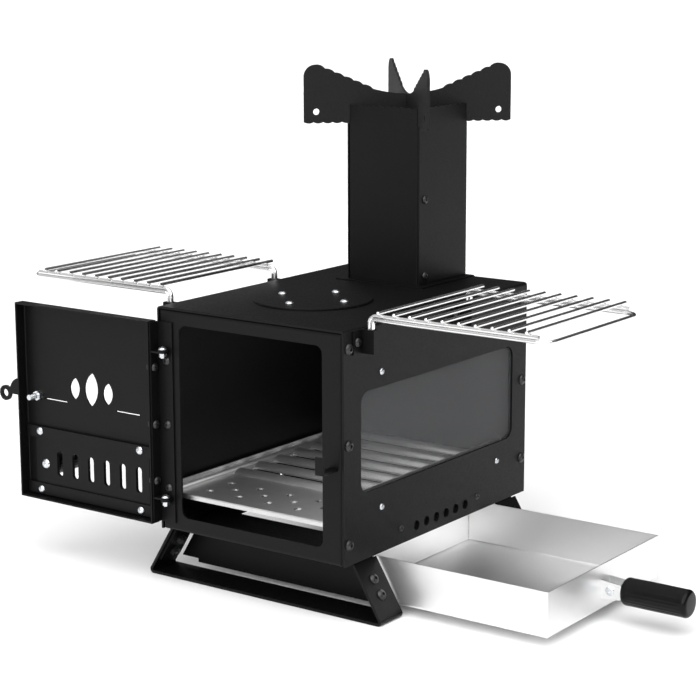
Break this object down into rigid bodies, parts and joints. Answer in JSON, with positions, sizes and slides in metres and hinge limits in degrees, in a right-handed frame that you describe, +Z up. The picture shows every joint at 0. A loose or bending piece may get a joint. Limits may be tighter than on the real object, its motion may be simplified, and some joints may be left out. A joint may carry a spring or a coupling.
{
  "type": "rocket stove",
  "caption": "Sheet-metal wood stove with square chimney, cross pot support, hinged door with damper, glazed side, lift-off lid, ash drawer and side shelves",
  "frame": {"origin": "on the ground, at the middle of the underside of the front foot", "axes": "+X to the glazed side and the drawer, +Y to the back, +Z up"},
  "size_m": [0.6434, 0.3365, 0.4489],
  "materials": {
    "firebox_black": "satin heat-proof powder coat on mild steel",
    "plate_black": "coarse heat-proof coat",
    "hardware_black": "black oxide screws and small brackets",
    "hardware_silver": "zinc plated screws",
    "stainless_sheet": "bright stainless sheet",
    "stainless_wire": "polished stainless wire",
    "ceramic_glass": "smoked heat-proof glass",
    "grip_black": "moulded heat-proof grip"
  },
  "bodies": {
    "stove_body": {"firebox_wrap": "firebox_black", "front_frame": "firebox_black", "rear_panel": "firebox_black", "floor_pan": "firebox_black", "grate_rails": "stainless_sheet", "window_glass": "ceramic_glass", "glass_clips": "stainless_sheet", "front_flange_screws": "hardware_black", "rear_flange_screws": "hardware_black", "floor_screws": "hardware_black", "glass_screws": "hardware_silver", "socket_screws": "hardware_black", "chimney_shell": "firebox_black", "chimney_front": "firebox_black", "chimney_collar": "firebox_black", "chimney_screws": "hardware_black", "body_hinge_leaf": "firebox_black", "body_leaf_screws": "hardware_black", "hinge_pins": "hardware_silver", "latch_catch": "firebox_black", "front_foot": "firebox_black", "rear_foot": "firebox_black", "front_leg_bracket": "firebox_black", "rear_leg_bracket": "firebox_black", "front_foot_screws": "hardware_black", "rear_foot_screws": "hardware_black", "drawer_runner_front": "firebox_black", "drawer_runner_rear": "firebox_black", "left_front_socket": "firebox_black", "left_rear_socket": "firebox_black", "right_front_socket": "firebox_black", "right_rear_socket": "firebox_black"},
    "lid": {"lid_plate": "firebox_black", "lid_plug": "firebox_black", "lid_screws": "hardware_silver"},
    "fire_grate": {"grate": "stainless_sheet"},
    "lower_pot_plate": {"pot_plate_lower": "plate_black"},
    "upper_pot_plate": {"pot_plate_upper": "plate_black"},
    "door": {"door_panel": "firebox_black", "door_hinge_leaf": "firebox_black", "door_leaf_screws": "hardware_black", "damper_rails": "firebox_black", "damper_rail_screws": "hardware_silver", "latch_bolt": "hardware_silver"},
    "damper": {"damper_plate": "firebox_black", "damper_pull": "grip_black", "damper_pull_screw": "hardware_silver"},
    "latch": {"latch_lever": "firebox_black"},
    "drawer": {"drawer_tray": "stainless_sheet", "drawer_bracket": "stainless_sheet", "drawer_rivets": "hardware_silver", "drawer_bolt": "hardware_silver", "drawer_grip": "grip_black"},
    "left_shelf": {"left_shelf_frame": "stainless_wire", "left_shelf_arms": "stainless_wire", "left_shelf_rods": "stainless_wire"},
    "right_shelf": {"right_shelf_frame": "stainless_wire", "right_shelf_arms": "stainless_wire", "right_shelf_rods": "stainless_wire"}
  },
  "joints": [
    {"name": "door_hinge", "type": "hinge", "parent": "stove_body", "child": "door", "pos_m": [-0.089, -0.0365, 0.146], "axis": [0, 0, 1], "range_deg": [0, 180]},
    {"name": "damper_slide", "type": "slide", "parent": "door", "child": "damper", "axis": [1, 0, 0], "range_m": [-0.00964, 0]},
    {"name": "latch_turn", "type": "hinge", "parent": "door", "child": "latch", "pos_m": [-0.2435, -0.02895, 0.152], "axis": [0, 1, 0], "range_deg": [-18, 75]},
    {"name": "drawer_slide", "type": "slide", "parent": "stove_body", "child": "drawer", "axis": [1, 0, 0], "range_m": [-0.167, 0]},
    {"name": "grate_lift", "type": "slide", "parent": "stove_body", "child": "fire_grate", "axis": [0, 0, 1], "range_m": [0, 0.04]},
    {"name": "lid_lift", "type": "slide", "parent": "stove_body", "child": "lid", "axis": [0, 0, 1], "range_m": [0, 0.06]},
    {"name": "lower_plate_lift", "type": "slide", "parent": "stove_body", "child": "lower_pot_plate", "axis": [0, 0, 1], "range_m": [0, 0.04]},
    {"name": "upper_plate_lift", "type": "slide", "parent": "lower_pot_plate", "child": "upper_pot_plate", "axis": [0, 0, 1], "range_m": [0, 0.04]},
    {"name": "left_shelf_lift", "type": "slide", "parent": "stove_body", "child": "left_shelf", "axis": [0, 0, 1], "range_m": [0, 0.03]},
    {"name": "right_shelf_lift", "type": "slide", "parent": "stove_body", "child": "right_shelf", "axis": [0, 0, 1], "range_m": [0, 0.03]}
  ]
}
